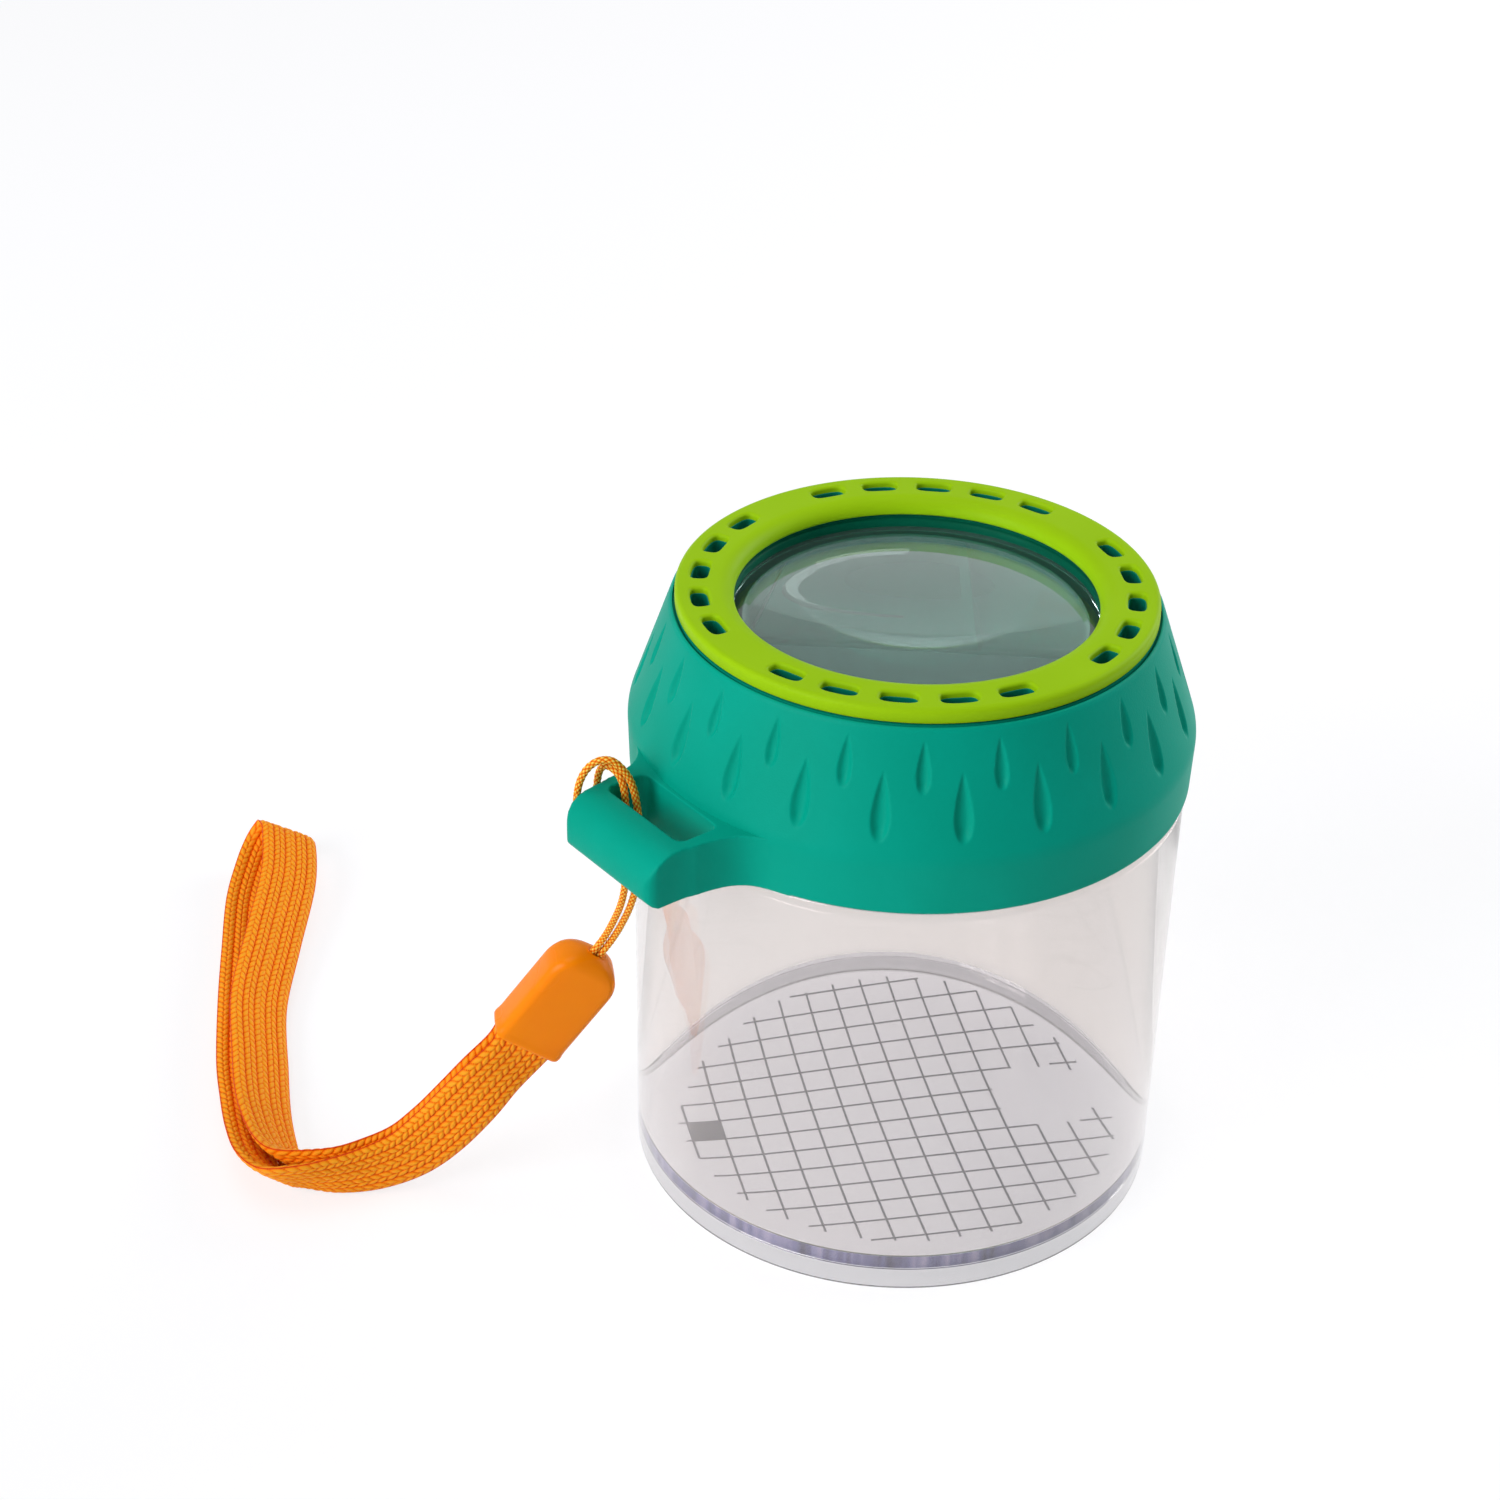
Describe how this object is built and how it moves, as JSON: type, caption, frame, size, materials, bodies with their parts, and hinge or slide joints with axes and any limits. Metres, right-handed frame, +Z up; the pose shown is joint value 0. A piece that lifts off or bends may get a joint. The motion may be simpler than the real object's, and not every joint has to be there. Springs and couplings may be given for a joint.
{
  "type": "bug catcher jar",
  "caption": "Clear screw-neck specimen jar with a twist-off magnifier lid, a vent ring, a printed measuring floor and a wrist strap.",
  "frame": {"origin": "on the jar's axis at the mouth of the foot recess, which is the plane that the jar stands on", "axes": "+Z up the jar's axis, -X towards the strap loop on the lid"},
  "size_m": [0.1388, 0.1745, 0.1024],
  "materials": {
    "clear_jar": "clear moulded polystyrene, glossy",
    "clear_floor": "clear moulded disc with a printed 5 mm grid underneath",
    "teal_plastic": "moulded ABS, fine satin texture",
    "lime_plastic": "moulded ABS, satin",
    "lens_clear": "polished clear acrylic",
    "orange_cord": "braided polyester cord",
    "clip_metal": "folded sheet, plain",
    "orange_plastic": "moulded polypropylene, soft gloss",
    "orange_webbing": "braided polyester webbing"
  },
  "bodies": {
    "jar": {"jar_body": "clear_jar", "floor_disc": "clear_floor"},
    "lens_carrier": {"lens": "lens_clear"},
    "lid": {"collar": "teal_plastic", "vent_ring": "lime_plastic", "cord": "orange_cord", "crimp": "clip_metal", "ferrule": "orange_plastic", "strap": "orange_webbing"}
  },
  "joints": [
    {"name": "lid_lift", "type": "slide", "parent": "jar", "child": "lens_carrier", "axis": [0, 0, 1], "range_m": [0, 0.045]},
    {"name": "lid_twist", "type": "hinge", "parent": "lens_carrier", "child": "lid", "pos_m": [0, 0, 0.0718], "axis": [0, 0, -1], "range_deg": [0, 16]}
  ]
}
